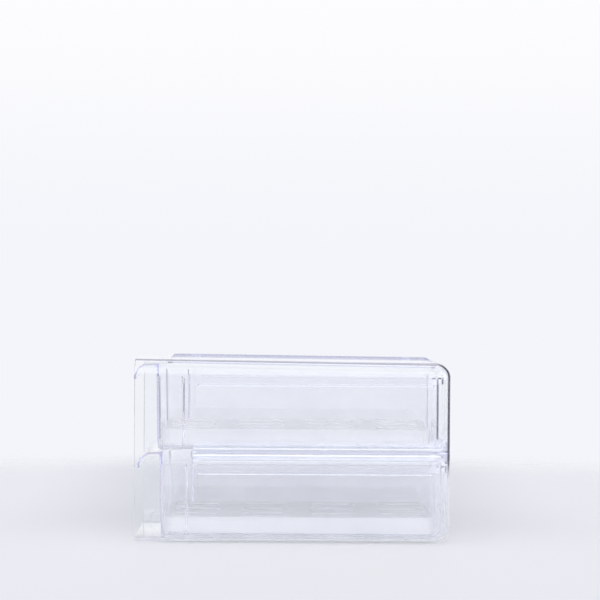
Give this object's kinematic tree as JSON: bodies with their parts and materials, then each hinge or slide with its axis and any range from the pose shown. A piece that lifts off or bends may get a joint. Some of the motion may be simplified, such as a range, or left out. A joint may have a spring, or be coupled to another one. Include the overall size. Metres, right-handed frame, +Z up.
{
  "type": "fridge bin",
  "caption": "Clear plastic fridge bin with stacked pull-out drawers that hang by their rims, each with a lip handle and a slotted drain tray, in an open-fronted stackable casing.",
  "frame": {"origin": "on the table under the middle of the whole bin", "axes": "+Z up; the open front and the drawers' handles face -Y; +X is to the right seen from the front"},
  "size_m": [0.19, 0.3208, 0.187],
  "materials": {
    "casing_clear": "clear, polished moulding with a faint cool tint",
    "shelf_clear": "clear, polished moulding",
    "drawer_clear": "clear, polished moulding with a faint blue-violet tint",
    "rail_clear": "clear, polished strip",
    "tray_frosted": "translucent white, softly frosted",
    "foot_rubber": "soft clear pad, satin"
  },
  "bodies": {
    "casing": {"casing_shell": "casing_clear", "middle_shelf": "shelf_clear", "lower_left_rail": "rail_clear", "lower_right_rail": "rail_clear", "upper_left_rail": "rail_clear", "upper_right_rail": "rail_clear", "front_left_foot": "foot_rubber", "front_right_foot": "foot_rubber", "back_left_foot": "foot_rubber", "back_right_foot": "foot_rubber"},
    "lower_drawer": {"lower_drawer": "drawer_clear"},
    "upper_drawer": {"upper_drawer": "drawer_clear"},
    "lower_tray": {"lower_drain_tray": "tray_frosted"},
    "upper_tray": {"upper_drain_tray": "tray_frosted"}
  },
  "joints": [
    {"name": "lower_drawer_slide", "type": "slide", "parent": "casing", "child": "lower_drawer", "axis": [0, -1, 0], "range_m": [0, 0.22]},
    {"name": "upper_drawer_slide", "type": "slide", "parent": "casing", "child": "upper_drawer", "axis": [0, -1, 0], "range_m": [-0.0038, 0.2162]},
    {"name": "lower_tray_lift", "type": "slide", "parent": "lower_drawer", "child": "lower_tray", "axis": [0, 0, 1], "range_m": [0, 0.05]},
    {"name": "upper_tray_lift", "type": "slide", "parent": "upper_drawer", "child": "upper_tray", "axis": [0, 0, 1], "range_m": [0, 0.05]}
  ]
}
